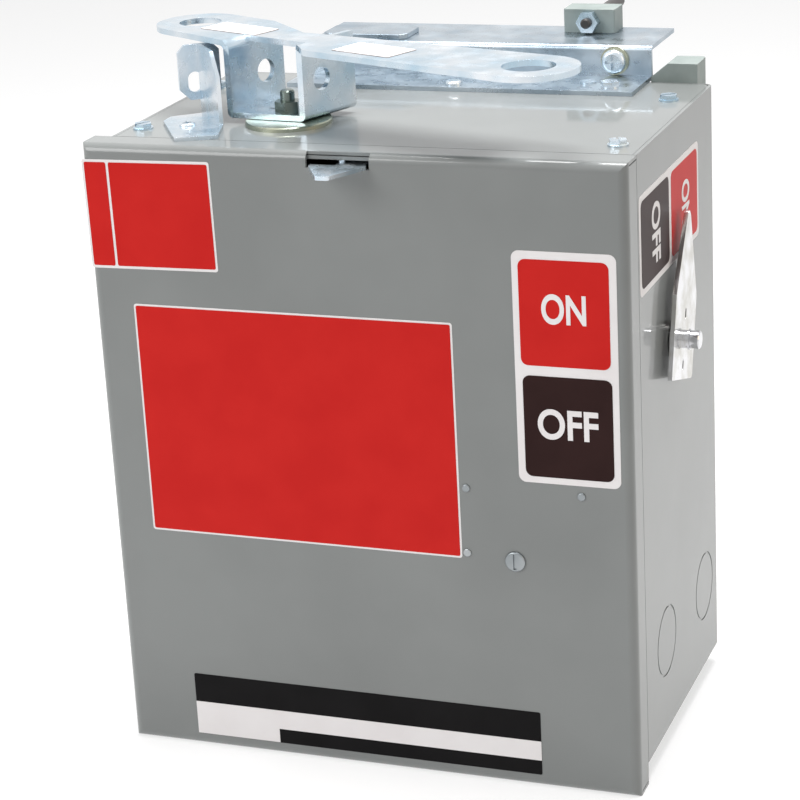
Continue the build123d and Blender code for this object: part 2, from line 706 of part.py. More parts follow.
with BuildPart() as bracket_screw:
    with BuildSketch(bracket_at.offset(bracket_sheet)):
        with Locations((bracket_screw_x, bracket_screw_y)):
            Circle(4.5)
    extrude(amount=1.4)
    fillet(bracket_screw.faces().sort_by(Axis.Z)[-1].edges(), 1.0)
    with BuildSketch(bracket_at.offset(bracket_sheet + 1.4)):
        with Locations((bracket_screw_x, bracket_screw_y)):
            Rectangle(5, 1.1)
            Rectangle(1.1, 5)
    extrude(amount=-1.1, mode=Mode.SUBTRACT)
    with BuildSketch(bracket_at.offset(bracket_sheet)):
        with Locations((bracket_screw_x, bracket_screw_y)):
            Circle(screw_radius)
    extrude(amount=-bracket_sheet - 7)
bracket_screw.part.label = "bracket_screw"
export_step(bracket_screw.part, "parts/bracket_screw.step")

# Hanger rail: Z-shaped strip over the rear edge of the top plate
rail_top = box_height + rail_height
with BuildPart() as hanger_rail:
    block(rail_left, rail_right, rail_front, rail_web, box_height, box_height + rail_sheet)
    block(rail_left, rail_right, rail_web - rail_sheet, rail_web, box_height, rail_top)
    block(rail_left, rail_right, rail_web - rail_sheet, rail_rear, rail_top - rail_sheet, rail_top)
    lines = hanger_rail.edges().filter_by(Axis.X)
    low_outer = lines.filter_by_position(Axis.Z, box_height - 0.1, box_height + 0.1).sort_by(Axis.Y)[-1]
    high_outer = lines.filter_by_position(Axis.Z, rail_top - 0.1, rail_top + 0.1).sort_by(Axis.Y)[0]
    fillet([low_outer, high_outer], rail_bend)
    for left, front in rail_screws_at:
        rod(left, front, box_height - 1, screw_radius + fit, 5, "z", Mode.SUBTRACT)
    rod(clamp_left, rail_web - 5, box_height + clamp_height, clamp_radius + fit, 10, "y", Mode.SUBTRACT)
hanger_rail.part.label = "hanger_rail"
export_step(hanger_rail.part, "parts/hanger_rail.step")

# Rail fixings: a pan head, a flat rivet head and a hexagon head
seat = box_height + rail_sheet
with BuildPart() as rail_screws:
    (dome_left, dome_front), (flat_left, flat_front), (hex_left, hex_front) = rail_screws_at
    rod(dome_left, dome_front, seat, 5, 2.6, "z")
    fillet(rail_screws.faces().sort_by(Axis.Z)[-1].edges(), 1.6)
    rod(flat_left, flat_front, seat, 4.6, 1.3, "z")
    with BuildSketch(Plane.XY.offset(seat)):
        with Locations((from_left(hex_left), from_front(hex_front))):
            RegularPolygon(4.5, 6, major_radius=False)
    extrude(amount=3.2)
    rod(hex_left, hex_front, seat, 5.4, 0.9, "z")
    for left, front in rail_screws_at:
        rod(left, front, seat - screw_length, screw_radius, screw_length, "z")
rail_screws.part.label = "rail_screws"
export_step(rail_screws.part, "parts/rail_screws.step")

# Clamp screw through the rail's web, with its washer and nut
with BuildPart() as clamp_washer:
    rod(clamp_left, rail_web - rail_sheet - 1.4, box_height + clamp_height, clamp_washer_radius, 1.4,
        "y")
    rod(clamp_left, rail_web - rail_sheet - 2, box_height + clamp_height, clamp_radius + fit, 3, "y",
        Mode.SUBTRACT)
clamp_washer.part.label = "clamp_washer"
export_step(clamp_washer.part, "parts/clamp_washer.step")

clamp_seat = rail_web - rail_sheet - 1.4
with BuildPart() as clamp_screw:
    rod(clamp_left, clamp_seat - 5, box_height + clamp_height, clamp_head_radius, 5, "y")
    fillet(clamp_screw.faces().sort_by(Axis.Y)[0].edges(), 2.5)
    block(clamp_left - 4.5, clamp_left + 4.5, clamp_seat - 6, clamp_seat - 2.5,
          box_height + clamp_height - 0.8, box_height + clamp_height + 0.8, Mode.SUBTRACT)
    block(clamp_left - 0.8, clamp_left + 0.8, clamp_seat - 6, clamp_seat - 2.5,
          box_height + clamp_height - 4.5, box_height + clamp_height + 4.5, Mode.SUBTRACT)
    rod(clamp_left, clamp_seat, box_height + clamp_height, clamp_radius, 16, "y")
clamp_screw.part.label = "clamp_screw"
export_step(clamp_screw.part, "parts/clamp_screw.step")

with BuildPart() as clamp_nut:
    with BuildSketch(Plane(origin=(from_left(clamp_left), from_front(rail_web), box_height + clamp_height),
                           x_dir=(1, 0, 0), z_dir=(0, 1, 0))):
        RegularPolygon(clamp_nut_flats / 2, 6, major_radius=False)
        Circle(clamp_radius + 0.02, mode=Mode.SUBTRACT)
    extrude(amount=4)
clamp_nut.part.label = "clamp_nut"
export_step(clamp_nut.part, "parts/clamp_nut.step")

# Stop plate welded on the rail's top flange
with BuildPart() as stop_plate:
    block(stop_left, stop_left + stop_length, rail_web + 1, rail_web + 1 + stop_width, rail_top,
          rail_top + stop_thickness)
    chamfer(stop_plate.edges().filter_by(Axis.Z), stop_corner)
stop_plate.part.label = "stop_plate"
export_step(stop_plate.part, "parts/stop_plate.step")

# Alignment block on the rail, with the threaded pin through it and its nut in front
pin_z = rail_top + pin_height
with BuildPart() as align_block:
    block(pin_left - align_block_width / 2, pin_left + align_block_width / 2, align_block_front,
          align_block_front + align_block_depth, rail_top, rail_top + align_block_height)
    fillet(align_block.edges().filter_by(Axis.Z), 1)
    rod(pin_left, align_block_front - 1, pin_z, pin_thread_radius + fit, align_block_depth + 2, "y",
        Mode.SUBTRACT)
align_block.part.label = "align_block"
export_step(align_block.part, "parts/align_block.step")

with BuildPart() as align_pin:
    shoulder = align_block_front + align_block_depth
    rod(pin_left, shoulder, pin_z, pin_radius, pin_rear - shoulder, "y")
    rod(pin_left, align_block_front - 9, pin_z, pin_thread_radius, align_block_depth + 9, "y")
    chamfer(align_pin.faces().sort_by(Axis.Y)[-1].edges(), 1.5)
    chamfer(align_pin.faces().sort_by(Axis.Y)[0].edges(), 0.8)
align_pin.part.label = "align_pin"
export_step(align_pin.part, "parts/align_pin.step")

with BuildPart() as align_nut:
    with BuildSketch(Plane(origin=(from_left(pin_left), from_front(align_block_front), pin_z),
                           x_dir=(1, 0, 0), z_dir=(0, -1, 0))):
        RegularPolygon(5.75, 6, major_radius=False)
        Circle(pin_thread_radius + 0.02, mode=Mode.SUBTRACT)
    extrude(amount=6)
align_nut.part.label = "align_nut"
export_step(align_nut.part, "parts/align_nut.step")

# Interlock housing moulded on the back, with a slot for the hook
with BuildPart() as interlock_housing:
    with BuildSketch(Plane(origin=(0, from_front(box_depth), 0), x_dir=(1, 0, 0), z_dir=(0, -1, 0))):
        with BuildLine():
            Polyline((from_left(housing_left), housing_low), (from_left(housing_left + housing_width),
                     housing_low), (from_left(housing_left + housing_width), housing_top),
                     (from_left(housing_left + 10), housing_top), (from_left(housing_left), housing_top - 8),
                     close=True)
        make_face()
    extrude(amount=-housing_depth)
    block(hook_left - 4, hook_left + 4, box_depth - 1, box_depth + housing_depth + 1,
          hook_pivot_height - 19, hook_pivot_height + 15, Mode.SUBTRACT)
    for left, height in housing_screws_at:
        rod(left, box_depth - 1, height, screw_radius + fit, wall_screw_reach, "y", Mode.SUBTRACT)
    fillet(interlock_housing.faces().sort_by(Axis.Y)[-1].edges().filter_by(Axis.Z).group_by(Axis.X)[-1], 3)
interlock_housing.part.label = "interlock_housing"
export_step(interlock_housing.part, "parts/interlock_housing.step")

# Interlock hook on its pin: front arm down to the cam, rear arm out through the housing
hook_half = hook_sheet / 2
hook_pad_front = shaft_front + 26
hook_pad_height = shaft_height + 25
hook_tip = box_depth + 57
hook_at = Plane(origin=(from_left(hook_left - hook_half), 0, 0), x_dir=(0, 1, 0), z_dir=(1, 0, 0))
with BuildPart() as interlock_hook:
    with BuildSketch(hook_at):
        with Locations((from_front(hook_pivot_front), hook_pivot_height)):
            Circle(8)
        with Locations((from_front(hook_pad_front), hook_pad_height)):
            Circle(3)
        make_hull()
    extrude(amount=hook_sheet)
    with BuildSketch(hook_at):
        with BuildLine():
            Polyline((from_front(hook_pivot_front), hook_pivot_height - 7),
                     (from_front(hook_tip - 10), hook_pivot_height - 7),
                     (from_front(hook_tip - 10), hook_pivot_height - 17),
                     (from_front(hook_tip - 4), hook_pivot_height - 17),
                     (from_front(hook_tip), hook_pivot_height - 11),
                     (from_front(hook_tip), hook_pivot_height),
                     (from_front(hook_tip - 6), hook_pivot_height + 6),
                     (from_front(hook_pivot_front), hook_pivot_height + 7), close=True)
        make_face()
    extrude(amount=hook_sheet)
    rod(hook_left - 10, hook_pivot_front, hook_pivot_height, hook_pin_radius + fit, 20, "x", Mode.SUBTRACT)
interlock_hook.part.label = "interlock_hook"
export_step(interlock_hook.part, "parts/interlock_hook.step")

with BuildPart() as hook_bracket:
    for left in (hook_left - hook_half - 2.5, hook_left + hook_half + 0.5):
        block(left, left + 2, hook_pivot_front - 8, back_inside - sheet, hook_pivot_height - 9,
              hook_pivot_height + 9)
    block(hook_left - 14, hook_left + 14, back_inside - sheet, back_inside, hook_pivot_height - 9,
          hook_pivot_height + 9)
    block(hook_left - hook_half - 0.5, hook_left + hook_half + 0.5, back_inside - sheet - 1,
          back_inside + 1, hook_pivot_height - 19, hook_pivot_height + 17, Mode.SUBTRACT)
    rod(hook_left - 10, hook_pivot_front, hook_pivot_height, hook_pin_radius + fit, 20, "x", Mode.SUBTRACT)
hook_bracket.part.label = "hook_bracket"
export_step(hook_bracket.part, "parts/hook_bracket.step")

with BuildPart() as hook_pin:
    ear_outer = hook_half + 2.5
    rod(hook_left - ear_outer, hook_pivot_front, hook_pivot_height, hook_pin_radius, 2 * ear_outer, "x")
    rod(hook_left - ear_outer - 1.5, hook_pivot_front, hook_pivot_height, hook_pin_radius + 2, 1.5, "x")
    rod(hook_left + ear_outer, hook_pivot_front, hook_pivot_height, hook_pin_radius + 2, 1.5, "x")
hook_pin.part.label = "hook_pin"
export_step(hook_pin.part, "parts/hook_pin.step")

# Lower rail under the rear edge, the rest at the back
rail_floor = body_bottom - rail_sheet
with BuildPart() as lower_rail:
    block(lower_rail_left, lower_rail_right, rail_front, rail_web, rail_floor, body_bottom)
    block(lower_rail_left, lower_rail_right, rail_web - rail_sheet, rail_web, 0, body_bottom)
    block(lower_rail_left, lower_rail_right, rail_web - rail_sheet, rail_web + lower_rail_reach, 0,
          rail_sheet)
    for left, front in lower_screws_at:
        rod(left, front, rail_floor - 1, screw_radius + fit, 5, "z", Mode.SUBTRACT)
lower_rail.part.label = "lower_rail"
export_step(lower_rail.part, "parts/lower_rail.step")

with BuildPart() as lower_rail_screws:
    for left, front in lower_screws_at:
        rod(left, front, rail_floor - 3, 4.5, 3, "z")
        rod(left, front, rail_floor, screw_radius, screw_length, "z")
lower_rail_screws.part.label = "lower_rail_screws"
export_step(lower_rail_screws.part, "parts/lower_rail_screws.step")

# Operating shaft in its bushing, with the handle outside and the crossbar inside
shaft_left = crossbar_right - 24
shaft_end = box_width + shaft_out
ring_left = box_width + handle_offset + handle_sheet + 2.5
with BuildPart() as operating_shaft:
    rod(shaft_left, shaft_front, shaft_height, shaft_radius, shaft_end - shaft_left, "x")
    chamfer(operating_shaft.faces().sort_by(Axis.X)[-1].edges(), 0.6)
    with BuildSketch(Plane(origin=(from_left(ring_left), 0, 0), x_dir=(0, 1, 0), z_dir=(1, 0, 0))):
        with Locations((from_front(shaft_front), shaft_height)):
            Circle(shaft_radius + 1)
            Circle(shaft_radius - 0.8, mode=Mode.SUBTRACT)
    extrude(amount=1.3, mode=Mode.SUBTRACT)
operating_shaft.part.label = "operating_shaft"
export_step(operating_shaft.part, "parts/operating_shaft.step")

with BuildPart() as shaft_ring:
    rod(ring_left + 0.1, shaft_front, shaft_height, shaft_radius + 0.7, 1.1, "x")
    rod(ring_left, shaft_front, shaft_height, shaft_radius - 0.75, 2, "x", Mode.SUBTRACT)
shaft_ring.part.label = "shaft_ring"
export_step(shaft_ring.part, "parts/shaft_ring.step")

with BuildPart() as shaft_bushing:
    rod(right_inside - 7, shaft_front, shaft_height, 7, 7 + sheet, "x")
    rod(right_inside - 2, shaft_front, shaft_height, 11, 2, "x")
    rod(right_inside - 8, shaft_front, shaft_height, shaft_radius + fit, 12, "x", Mode.SUBTRACT)
shaft_bushing.part.label = "shaft_bushing"
export_step(shaft_bushing.part, "parts/shaft_bushing.step")

# Handle: pointed plate with two slots, welded to a hub
handle_at = Plane(origin=(from_left(box_width + handle_offset), from_front(shaft_front), shaft_height),
                  x_dir=(0, cos(radians(handle_lean)), -sin(radians(handle_lean))), z_dir=(1, 0, 0))
with BuildPart() as handle:
    with BuildSketch(handle_at):
        with BuildLine():
            Polyline((-handle_half_width, -handle_below), (handle_half_width, -handle_below),
                     (handle_half_width, 24), (-1, handle_above - 2), (-4, handle_above),
                     (-7, handle_above - 2), (-handle_half_width, 24), close=True)
        make_face()
        with Locations((0, 14), (0, -14)):
            SlotCenterToCenter(4, 2.2, rotation=90, mode=Mode.SUBTRACT)
        Circle(shaft_radius + 0.02, mode=Mode.SUBTRACT)
    extrude(amount=handle_sheet)
    fillet(handle.edges().filter_by(Axis.X).filter_by(lambda e: e.length > handle_sheet - 0.1
           and e.center().Z < shaft_height + 40 and abs(e.center().Z - shaft_height) > 15), 3)
    with BuildSketch(handle_at):
        Circle(handle_hub_radius)
        Circle(shaft_radius + 0.02, mode=Mode.SUBTRACT)
    extrude(amount=-handle_offset + 0.4)
handle.part.label = "handle"
export_step(handle.part, "parts/handle.step")

with BuildPart() as crossbar:
    rod(crossbar_left, shaft_front, shaft_height, crossbar_radius, crossbar_right - crossbar_left, "x")
    rod(shaft_left - 1, shaft_front, shaft_height, shaft_radius + 0.02, 40, "x", Mode.SUBTRACT)
crossbar.part.label = "crossbar"
export_step(crossbar.part, "parts/crossbar.step")

# Cam on the shaft that lifts the interlock hook's front arm
cam_at = Plane(origin=(from_left(hook_left - hook_half), from_front(shaft_front), shaft_height),
               x_dir=(0, 1, 0), z_dir=(1, 0, 0))
with BuildPart() as interlock_cam:
    rod(hook_left - hook_half, shaft_front, shaft_height, 15, hook_sheet, "x")
    with BuildSketch(cam_at):
        with BuildLine():
            Polyline((0, 0), (34.8, 9.3), (33.1, 14.1), (22.2, 23.0), (-5, 14), close=True)
        make_face()
    extrude(amount=hook_sheet)
    rod(hook_left - 5, shaft_front, shaft_height, shaft_radius + 0.02, 20, "x", Mode.SUBTRACT)
interlock_cam.part.label = "interlock_cam"
export_step(interlock_cam.part, "parts/interlock_cam.step")

# Switch base: moulded plate on four legs that reach the back wall
base_rear = base_front + base_thickness
with BuildPart() as switch_base:
    block(base_left, base_right, base_front, base_rear, base_low, base_high)
    fillet(switch_base.edges().filter_by(Axis.Y), 6)
    for left, height in legs_at:
        rod(left, base_rear, height, leg_radius, back_inside - base_rear, "y")
        rod(left, box_depth - wall_screw_reach, height, screw_radius + fit, wall_screw_reach, "y",
            Mode.SUBTRACT)
    for left in poles:
        rod(left, base_front - 1, line_bolt_height, line_bolt_radius + fit, base_thickness + 2, "y",
            Mode.SUBTRACT)
switch_base.part.label = "switch_base"
export_step(switch_base.part, "parts/switch_base.step")

with BuildPart() as crossbar_bearings:
    for left in (base_left + 2, base_right - 10):
        block(left, left + 8, shaft_front - 15, base_front, shaft_height - 15, shaft_height + 15)
        rod(left - 1, shaft_front, shaft_height, crossbar_radius + fit, 10, "x", Mode.SUBTRACT)
crossbar_bearings.part.label = "crossbar_bearings"
export_step(crossbar_bearings.part, "parts/crossbar_bearings.step")

# Per pole: blade, line jaw and its bolt, load contact, fuse clips, fuse, load lug and its screw
leaf = blade_thickness / 2 + contact_gap
with BuildPart() as blades:
    for left in poles:
        edge = left - blade_thickness / 2
        rod(edge, shaft_front, shaft_height, blade_hub, blade_thickness, "x")
        block(edge, edge + blade_thickness, shaft_front - blade_width / 2, shaft_front + blade_width / 2,
              shaft_height, shaft_height + blade_tip)
        rod(left - 5, shaft_front, shaft_height, crossbar_radius + 0.02, 10, "x", Mode.SUBTRACT)
blades.part.label = "blades"
export_step(blades.part, "parts/blades.step")

jaw_foot = base_front - contact_sheet
half_strap = strap_width / 2
with BuildPart() as line_jaws:
    for left in poles:
        block(left - half_strap, left + half_strap, jaw_foot, base_front, jaw_high - jaw_height,
              line_bolt_height + 7)
        for inner in (left - leaf - contact_sheet, left + leaf):
            block(inner, inner + contact_sheet, shaft_front - blade_width / 2, jaw_foot,
                  jaw_high - jaw_height, jaw_high)
        rod(left, jaw_foot - 1, line_bolt_height, line_bolt_radius + fit, contact_sheet + 2, "y",
            Mode.SUBTRACT)
line_jaws.part.label = "line_jaws"
export_step(line_jaws.part, "parts/line_jaws.step")

with BuildPart() as line_bolts:
    for left in poles:
        with BuildSketch(Plane(origin=(from_left(left), from_front(jaw_foot), line_bolt_height),
                               x_dir=(1, 0, 0), z_dir=(0, -1, 0))):
            RegularPolygon(5, 6, major_radius=False)
        extrude(amount=4)
        rod(left, jaw_foot, line_bolt_height, line_bolt_radius, contact_sheet + base_thickness
            + strap_sheet + 2, "y")
line_bolts.part.label = "line_bolts"
export_step(line_bolts.part, "parts/line_bolts.step")

clip_foot = base_front - contact_sheet
with BuildPart() as load_contacts:
    for left in poles:
        block(left - half_strap, left + half_strap, clip_foot, base_front, fuse_high - 20,
              shaft_height - 5)
        for inner in (left - leaf - contact_sheet, left + leaf):
            block(inner, inner + contact_sheet, shaft_front + 11, clip_foot, shaft_height - 24,
                  shaft_height - 5)
load_contacts.part.label = "load_contacts"
export_step(load_contacts.part, "parts/load_contacts.step")

with BuildPart() as load_strips:
    for left in poles:
        block(left - half_strap, left + half_strap, clip_foot, base_front, lug_low - 4,
              fuse_low + ferrule)
load_strips.part.label = "load_strips"
export_step(load_strips.part, "parts/load_strips.step")

clip_inner = fuse_radius + 0.1
with BuildPart() as fuse_clips:
    for left in poles:
        for low in (fuse_low + 1, fuse_high - ferrule + 1):
            high = low + ferrule - 2
            block(left - clip_inner - clip_sheet, left + clip_inner + clip_sheet, clip_foot - 2, clip_foot,
                  low, high)
            block(left - clip_inner - clip_sheet, left - clip_inner, fuse_front - 9, clip_foot, low, high)
            block(left + clip_inner, left + clip_inner + clip_sheet, fuse_front - 9, clip_foot, low, high)
fuse_clips.part.label = "fuse_clips"
export_step(fuse_clips.part, "parts/fuse_clips.step")

with BuildPart() as fuses:
    for left in poles:
        rod(left, fuse_front, fuse_low, fuse_radius - 0.8, fuse_high - fuse_low, "z")
        rod(left, fuse_front, fuse_low, fuse_radius, ferrule, "z")
        rod(left, fuse_front, fuse_high - ferrule, fuse_radius, ferrule, "z")
fuses.part.label = "fuses"
export_step(fuses.part, "parts/fuses.step")

lug_front = clip_foot - 18
with BuildPart() as load_lugs:
    for left in poles:
        block(left - 8, left + 8, lug_front, clip_foot, lug_low, lug_high)
        rod(left, clip_foot - 9, lug_low - 1, 4.8, lug_high - lug_low + 2, "z", Mode.SUBTRACT)
        rod(left, lug_front - 1, (lug_low + lug_high) / 2, 4.02, 8, "y", Mode.SUBTRACT)
load_lugs.part.label = "load_lugs"
export_step(load_lugs.part, "parts/load_lugs.step")

with BuildPart() as lug_screws:
    for left in poles:
        rod(left, lug_front - 3, (lug_low + lug_high) / 2, 4, 7.5, "y")
        with BuildSketch(Plane(origin=(from_left(left), from_front(lug_front - 3), (lug_low + lug_high) / 2),
                               x_dir=(1, 0, 0), z_dir=(0, 1, 0))):
            RegularPolygon(2, 6, major_radius=False)
        extrude(amount=4, mode=Mode.SUBTRACT)
lug_screws.part.label = "lug_screws"
export_step(lug_screws.part, "parts/lug_screws.step")

# Insulating barriers between the poles, bored for the crossbar
with BuildPart() as phase_barriers:
    for left in (pole_first + pole_pitch / 2, pole_first + 3 * pole_pitch / 2):
        block(left - 1, left + 1, shaft_front - 24, base_front, base_low + 20, base_high - 6)
        rod(left - 2, shaft_front, shaft_height, crossbar_radius + 0.4, 4, "x", Mode.SUBTRACT)
phase_barriers.part.label = "phase_barriers"
export_step(phase_barriers.part, "parts/phase_barriers.step")

# Bus straps from the stabs to the line jaws, behind the base
strap_rear = back_inside - 7
with BuildPart() as bus_straps:
    for left in poles:
        block(left - half_strap, left + half_strap, strap_rear - strap_sheet, strap_rear,
              stab_height - 15, strap_bend)
        block(left - half_strap, left + half_strap, base_rear, strap_rear, strap_bend - strap_sheet,
              strap_bend)
        block(left - half_strap, left + half_strap, base_rear, base_rear + strap_sheet,
              strap_bend - strap_sheet, line_bolt_height + 6)
        rod(left, base_rear - 1, line_bolt_height, line_bolt_radius + fit, strap_sheet + 2, "y",
            Mode.SUBTRACT)
bus_straps.part.label = "bus_straps"
export_step(bus_straps.part, "parts/bus_straps.step")

# Stab base: moulded flange behind the wall and a boss with one slot for each busbar
with BuildPart() as stab_base:
    block(stab_left, stab_right, box_depth, box_depth + stab_flange, stab_height - stab_flange_half,
          stab_height + stab_flange_half)
    fillet(stab_base.edges().filter_by(Axis.Y), 5)
    block(ground_left - stab_boss_side, pole_last + stab_boss_side, box_depth, stab_rear,
          stab_height - stab_boss_half, stab_height + stab_boss_half)
    for left in stabs:
        block(left - stab_slot / 2, left + stab_slot / 2, box_depth - 1, stab_rear + 1,
              stab_height - stab_slot_half, stab_height + stab_slot_half, Mode.SUBTRACT)
    for left, height in stab_screws_at:
        rod(left, box_depth - 1, height, screw_radius + fit, stab_flange + 2, "y", Mode.SUBTRACT)
stab_base.part.label = "stab_base"
export_step(stab_base.part, "parts/stab_base.step")

# Stab jaws: sprung copper leaves that grip the ground bar and the three phase bars
with BuildPart() as stab_jaws:
    for left in stabs:
        block(left - stab_foot_width / 2, left + stab_foot_width / 2, strap_rear, box_depth,
              stab_height - stab_foot_half, stab_height + stab_foot_half)
        for inner in (left - busbar_gap / 2 - contact_sheet, left + busbar_gap / 2):
            block(inner, inner + contact_sheet, box_depth, stab_rear - 2, stab_height - stab_leaf_half,
                  stab_height + stab_leaf_half)
stab_jaws.part.label = "stab_jaws"
export_step(stab_jaws.part, "parts/stab_jaws.step")

# Ground strap from the first stab down to the ground bar on the back wall
with BuildPart() as ground_strap:
    block(ground_left - 7, ground_left + 7, strap_rear - strap_sheet, strap_rear, ground_bar_low + 2,
          stab_height + stab_foot_half)
ground_strap.part.label = "ground_strap"
export_step(ground_strap.part, "parts/ground_strap.step")

with BuildPart() as ground_bar:
    block(ground_bar_left, ground_bar_left + ground_bar_length, strap_rear, back_inside, ground_bar_low,
          ground_bar_low + ground_bar_height)
    for left, height in ground_screws_at:
        rod(left, strap_rear - 1, height, screw_radius + fit, back_inside - strap_rear + 2, "y",
            Mode.SUBTRACT)
ground_bar.part.label = "ground_bar"
export_step(ground_bar.part, "parts/ground_bar.step")

# Screws through the back wall: stab base, switch legs, ground bar and interlock housing
with BuildPart() as wall_screws:
    for left, height in stab_screws_at:
        rod(left, box_depth + stab_flange, height, wall_screw_head, 3, "y")
        rod(left, box_depth + stab_flange - wall_screw_reach, height, screw_radius, wall_screw_reach, "y")
    for left, height in legs_at + ground_screws_at:
        rod(left, box_depth, height, wall_screw_head, 3, "y")
        rod(left, box_depth - wall_screw_reach + 2, height, screw_radius, wall_screw_reach - 2, "y")
    for left, height in housing_screws_at:
        rod(left, back_inside - 3, height, wall_screw_head, 3, "y")
        rod(left, back_inside, height, screw_radius, wall_screw_reach - 1, "y")
wall_screws.part.label = "wall_screws"
export_step(wall_screws.part, "parts/wall_screws.step")
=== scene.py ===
from math import cos, radians, sin

import bmesh
import bpy
from mathutils import Matrix, Vector


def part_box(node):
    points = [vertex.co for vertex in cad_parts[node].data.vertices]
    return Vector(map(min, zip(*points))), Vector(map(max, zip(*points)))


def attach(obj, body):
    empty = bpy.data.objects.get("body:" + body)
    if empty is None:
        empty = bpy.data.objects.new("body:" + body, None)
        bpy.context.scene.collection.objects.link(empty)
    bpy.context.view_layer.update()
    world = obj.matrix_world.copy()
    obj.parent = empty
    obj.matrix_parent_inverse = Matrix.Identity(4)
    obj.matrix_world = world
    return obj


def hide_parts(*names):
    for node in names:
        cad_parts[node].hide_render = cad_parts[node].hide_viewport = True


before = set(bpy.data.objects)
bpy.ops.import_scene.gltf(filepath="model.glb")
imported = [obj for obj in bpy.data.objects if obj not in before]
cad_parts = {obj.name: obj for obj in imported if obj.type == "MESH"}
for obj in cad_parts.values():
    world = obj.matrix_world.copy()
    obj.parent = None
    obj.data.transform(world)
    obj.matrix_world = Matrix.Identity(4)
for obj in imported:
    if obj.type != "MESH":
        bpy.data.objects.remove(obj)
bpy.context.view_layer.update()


# Enclosure: body wrap, end plates and hinged cover, folded from 1.9 mm steel sheet. They are
# powder coated in light grey, glossy, with a fine orange peel and small changes of shade.
cover_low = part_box("front_cover")[0]


def spot(left, front, height):
    """Place in metres, from millimetres right of the cover's left side, behind its face and up."""
    return Vector((cover_low[0] + left / 1000, cover_low[1] + front / 1000, height / 1000))


def colour(code):
    """Linear colour of an sRGB hex value."""
    parts = [int(code[i:i + 2], 16) / 255 for i in (1, 3, 5)]
    return [c / 12.92 if c <= 0.04045 else ((c + 0.055) / 1.055) ** 2.4 for c in parts] + [1]


def add(tree, kind, inputs=None, **settings):
    """New shader node with its settings, and each input set to a value or linked to an output."""
    node = tree.nodes.new(kind)
    for name, value in settings.items():
        setattr(node, name, value)
    for name, value in (inputs or {}).items():
        if isinstance(value, bpy.types.NodeSocket):
            tree.links.new(value, node.inputs[name])
        else:
            node.inputs[name].default_value = value
    return node


def finish_of(name, **values):
    """New material with its shader's own values set: the material, its tree, shader and place."""
    material = bpy.data.materials.new(name)
    material.use_nodes = True
    tree = material.node_tree
    shader = tree.nodes["Principled BSDF"]
    for key, value in values.items():
        shader.inputs[key.replace("_", " ").title().replace("Ior", "IOR")].default_value = value
    place = add(tree, "ShaderNodeTexCoord").outputs["Object"]
    return material, tree, shader, place


def cycles_per_metre(millimetres):
    """Scale of a noise whose spots are about that wide."""
    return 1000 / millimetres


def mottled(tree, place, first, second, spot_mm, low=0.35, high=0.65):
    """Colour output that drifts between two colours in soft spots."""
    noise = add(tree, "ShaderNodeTexNoise", {"Vector": place, "Detail": 3,
                                             "Scale": cycles_per_metre(spot_mm)})
    ramp = add(tree, "ShaderNodeValToRGB", {"Fac": noise.outputs["Fac"]})
    ramp.color_ramp.elements[0].position = low
    ramp.color_ramp.elements[0].color = first
    ramp.color_ramp.elements[1].position = high
    ramp.color_ramp.elements[1].color = second
    return ramp.outputs["Color"]


def ripple(tree, place, shader, spot_mm, height_mm, stretch=(1, 1, 1)):
    """Fine relief on a surface: spots of a width and a height in millimetres."""
    moved = add(tree, "ShaderNodeMapping", {"Vector": place, "Scale": stretch})
    noise = add(tree, "ShaderNodeTexNoise", {"Vector": moved.outputs[0], "Detail": 2,
                                             "Scale": cycles_per_metre(spot_mm)})
    bump = add(tree, "ShaderNodeBump", {"Height": noise.outputs["Fac"], "Strength": 1,
                                        "Distance": height_mm / 1000})
    tree.links.new(bump.outputs[0], shader.inputs["Normal"])


def powder_coat():
    """Polyester powder coat: satin colour under a glossy skin with orange peel 2 mm wide."""
    material, tree, shader, place = finish_of("powder_coat", roughness=0.4, coat_weight=0.6,
                                              coat_roughness=0.06, specular_ior_level=0.3)
    tint = mottled(tree, place, colour("#747776"), colour("#7B7E7D"), 90)
    tree.links.new(tint, shader.inputs["Base Color"])
    ripple(tree, place, shader, 2, 0.012)
    return material


def paint(material, *names):
    """Gives CAD nodes a material."""
    for name in names:
        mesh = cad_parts[name].data
        mesh.materials.clear()
        mesh.materials.append(material)


sharp_from = radians(40)
shaded_sharp_from = radians(35)
flat_within = radians(1)
same_place = 1e-6


def softened(name, body, edge_mm):
    """Copy of a CAD node with its sharp edges rounded, in place of the node."""
    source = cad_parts[name]
    work = bmesh.new()
    work.from_mesh(source.data)
    bmesh.ops.remove_doubles(work, verts=work.verts, dist=same_place)
    bmesh.ops.dissolve_limit(work, angle_limit=flat_within, verts=work.verts, edges=work.edges)
    sharp = [edge for edge in work.edges if len(edge.link_faces) == 2
             and edge.calc_face_angle() > sharp_from]
    bmesh.ops.bevel(work, geom=sharp, offset=edge_mm / 1000, affect="EDGES", segments=2,
                    profile=0.5, material=-1, clamp_overlap=True)
    for face in work.faces:
        face.smooth = True
    mesh = bpy.data.meshes.new(name + "_rounded")
    work.to_mesh(mesh)
    work.free()
    mesh.set_sharp_from_angle(angle=shaded_sharp_from)
    for material in source.data.materials:
        mesh.materials.append(material)
    piece = bpy.data.objects.new(name + "_rounded", mesh)
    bpy.context.scene.collection.objects.link(piece)
    piece.modifiers.new("flat_faces", "WEIGHTED_NORMAL").keep_sharp = True
    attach(piece, body)
    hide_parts(name)


paint(powder_coat(), "body_wrap", "top_plate", "bottom_plate", "front_cover", "latch_backing_plate")


